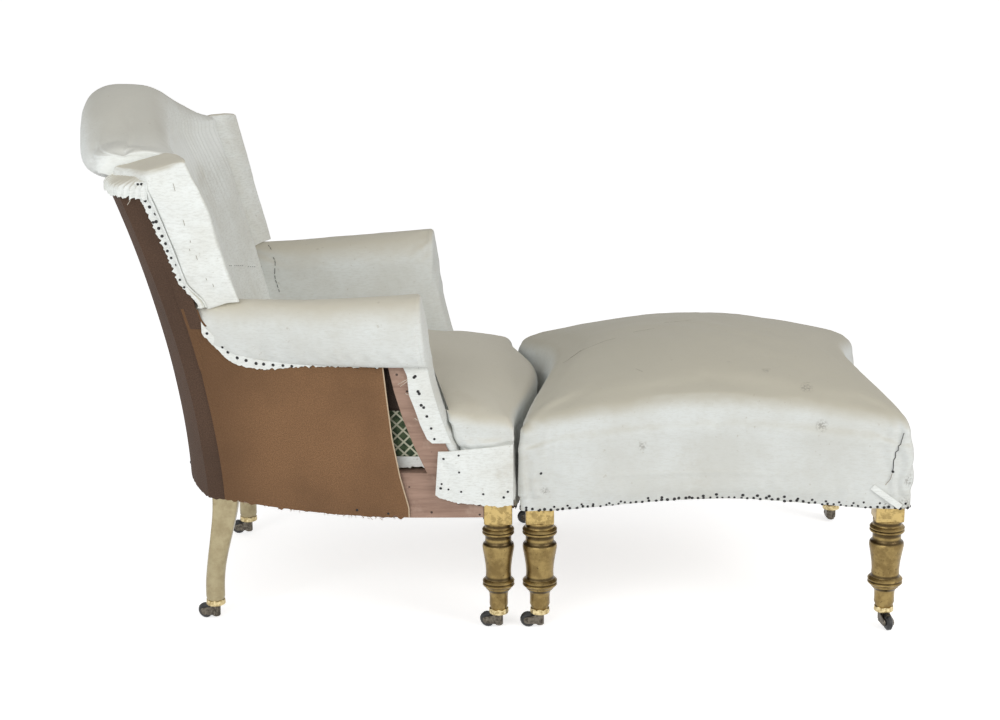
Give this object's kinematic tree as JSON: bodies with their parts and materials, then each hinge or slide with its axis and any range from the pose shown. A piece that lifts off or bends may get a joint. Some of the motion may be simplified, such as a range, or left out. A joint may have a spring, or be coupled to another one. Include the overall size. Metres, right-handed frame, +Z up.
{
  "type": "duchesse brisee",
  "caption": "Chaise longue in separate parts: a low winged easy chair with a bowed seat and a footstool hollowed to nest round it, on gilt legs with castors.",
  "frame": {"origin": "on the floor, under the middle of the box round the chair and the stool as they stand nested", "axes": "+X from the chair's back towards the stool, +Y to the sitter's left, +Z up"},
  "size_m": [1.4486, 0.7002, 0.9263],
  "materials": {
    "calico": "unbleached cotton, matt, a little grey and soiled",
    "hessian": "coarse jute cloth, matt",
    "jute_webbing": "woven jute strap, matt",
    "beech": "bare, worn and full of tack holes",
    "gilt_wood": "old gilding, satin, dark in the grooves",
    "brass": "dull with age",
    "iron": "dark and slightly rusted",
    "wheel_black": "ebonised, satin"
  },
  "bodies": {
    "chair": {"chair_front_rail": "beech", "chair_back_rail": "beech", "chair_left_seat_rail": "beech", "chair_right_seat_rail": "beech", "chair_left_rear_leg": "gilt_wood", "chair_right_rear_leg": "gilt_wood", "chair_left_front_leg": "gilt_wood", "chair_right_front_leg": "gilt_wood", "chair_crest_rail": "beech", "chair_left_arm_rail": "beech", "chair_right_arm_rail": "beech", "chair_left_arm_post": "beech", "chair_right_arm_post": "beech", "chair_seat_webbing": "jute_webbing", "chair_seat_cushion": "calico", "chair_back_pad": "calico", "chair_left_arm_pad": "calico", "chair_right_arm_pad": "calico", "chair_left_wing_pad": "calico", "chair_right_wing_pad": "calico", "chair_outside_back": "hessian", "chair_left_outside_arm": "hessian", "chair_right_outside_arm": "hessian", "chair_left_front_socket": "brass", "chair_right_front_socket": "brass", "chair_left_rear_socket": "brass", "chair_right_rear_socket": "brass"},
    "stool": {"stool_left_rail": "beech", "stool_right_rail": "beech", "stool_inner_rail": "beech", "stool_outer_rail": "beech", "stool_left_inner_leg": "gilt_wood", "stool_right_inner_leg": "gilt_wood", "stool_left_outer_leg": "gilt_wood", "stool_right_outer_leg": "gilt_wood", "stool_webbing": "jute_webbing", "stool_cushion": "calico", "stool_left_inner_socket": "brass", "stool_right_inner_socket": "brass", "stool_left_outer_socket": "brass", "stool_right_outer_socket": "brass"},
    "chair_right_front_fork": {"chair_right_front_fork": "iron"},
    "chair_right_front_wheel": {"chair_right_front_wheel": "wheel_black"},
    "chair_left_front_fork": {"chair_left_front_fork": "iron"},
    "chair_left_front_wheel": {"chair_left_front_wheel": "wheel_black"},
    "chair_right_rear_fork": {"chair_right_rear_fork": "iron"},
    "chair_right_rear_wheel": {"chair_right_rear_wheel": "wheel_black"},
    "chair_left_rear_fork": {"chair_left_rear_fork": "iron"},
    "chair_left_rear_wheel": {"chair_left_rear_wheel": "wheel_black"},
    "stool_right_inner_fork": {"stool_right_inner_fork": "iron"},
    "stool_right_inner_wheel": {"stool_right_inner_wheel": "wheel_black"},
    "stool_left_inner_fork": {"stool_left_inner_fork": "iron"},
    "stool_left_inner_wheel": {"stool_left_inner_wheel": "wheel_black"},
    "stool_right_outer_fork": {"stool_right_outer_fork": "iron"},
    "stool_right_outer_wheel": {"stool_right_outer_wheel": "wheel_black"},
    "stool_left_outer_fork": {"stool_left_outer_fork": "iron"},
    "stool_left_outer_wheel": {"stool_left_outer_wheel": "wheel_black"}
  },
  "joints": [
    {"name": "stool_roll_away", "type": "slide", "parent": "chair", "child": "stool", "axis": [1, 0, 0], "range_m": [0, 0.5]},
    {"name": "chair_right_front_swivel", "type": "hinge", "parent": "chair", "child": "chair_right_front_fork", "pos_m": [0.01475, -0.2775, 0.028], "axis": [0, 0, 1], "continuous": true},
    {"name": "chair_right_front_spin", "type": "hinge", "parent": "chair_right_front_fork", "child": "chair_right_front_wheel", "pos_m": [-0.00504, -0.2691, 0.01354], "axis": [-0.3907, -0.9205, 0], "continuous": true},
    {"name": "chair_left_front_swivel", "type": "hinge", "parent": "chair", "child": "chair_left_front_fork", "pos_m": [0.01475, 0.2775, 0.028], "axis": [0, 0, 1], "continuous": true},
    {"name": "chair_left_front_spin", "type": "hinge", "parent": "chair_left_front_fork", "child": "chair_left_front_wheel", "pos_m": [-0.00581, 0.28379, 0.01354], "axis": [-0.2924, -0.9563, 0], "continuous": true},
    {"name": "chair_right_rear_swivel", "type": "hinge", "parent": "chair", "child": "chair_right_rear_fork", "pos_m": [-0.48918, -0.227, 0.028], "axis": [0, 0, 1], "continuous": true},
    {"name": "chair_right_rear_spin", "type": "hinge", "parent": "chair_right_rear_fork", "child": "chair_right_rear_wheel", "pos_m": [-0.50925, -0.21929, 0.01354], "axis": [-0.3584, -0.9336, 0], "continuous": true},
    {"name": "chair_left_rear_swivel", "type": "hinge", "parent": "chair", "child": "chair_left_rear_fork", "pos_m": [-0.48918, 0.227, 0.028], "axis": [0, 0, 1], "continuous": true},
    {"name": "chair_left_rear_spin", "type": "hinge", "parent": "chair_left_rear_fork", "child": "chair_left_rear_wheel", "pos_m": [-0.51035, 0.23073, 0.01354], "axis": [-0.1736, -0.9848, 0], "continuous": true},
    {"name": "stool_right_inner_swivel", "type": "hinge", "parent": "stool", "child": "stool_right_inner_fork", "pos_m": [0.08675, -0.2775, 0.028], "axis": [0, 0, 1], "continuous": true},
    {"name": "stool_right_inner_spin", "type": "hinge", "parent": "stool_right_inner_fork", "child": "stool_right_inner_wheel", "pos_m": [0.06598, -0.27193, 0.01354], "axis": [-0.2588, -0.9659, 0], "continuous": true},
    {"name": "stool_left_inner_swivel", "type": "hinge", "parent": "stool", "child": "stool_left_inner_fork", "pos_m": [0.08675, 0.2775, 0.028], "axis": [0, 0, 1], "continuous": true},
    {"name": "stool_left_inner_spin", "type": "hinge", "parent": "stool_left_inner_fork", "child": "stool_left_inner_wheel", "pos_m": [0.06552, 0.28086, 0.01354], "axis": [-0.1564, -0.9877, 0], "continuous": true},
    {"name": "stool_right_outer_swivel", "type": "hinge", "parent": "stool", "child": "stool_right_outer_fork", "pos_m": [0.68975, -0.2775, 0.028], "axis": [0, 0, 1], "continuous": true},
    {"name": "stool_right_outer_spin", "type": "hinge", "parent": "stool_right_outer_fork", "child": "stool_right_outer_wheel", "pos_m": [0.69422, -0.29853, 0.01354], "axis": [0.9781, 0.2079, 0], "continuous": true},
    {"name": "stool_left_outer_swivel", "type": "hinge", "parent": "stool", "child": "stool_left_outer_fork", "pos_m": [0.68975, 0.2775, 0.028], "axis": [0, 0, 1], "continuous": true},
    {"name": "stool_left_outer_spin", "type": "hinge", "parent": "stool_left_outer_fork", "child": "stool_left_outer_wheel", "pos_m": [0.68975, 0.299, 0.01354], "axis": [-1, 0, 0], "continuous": true}
  ]
}
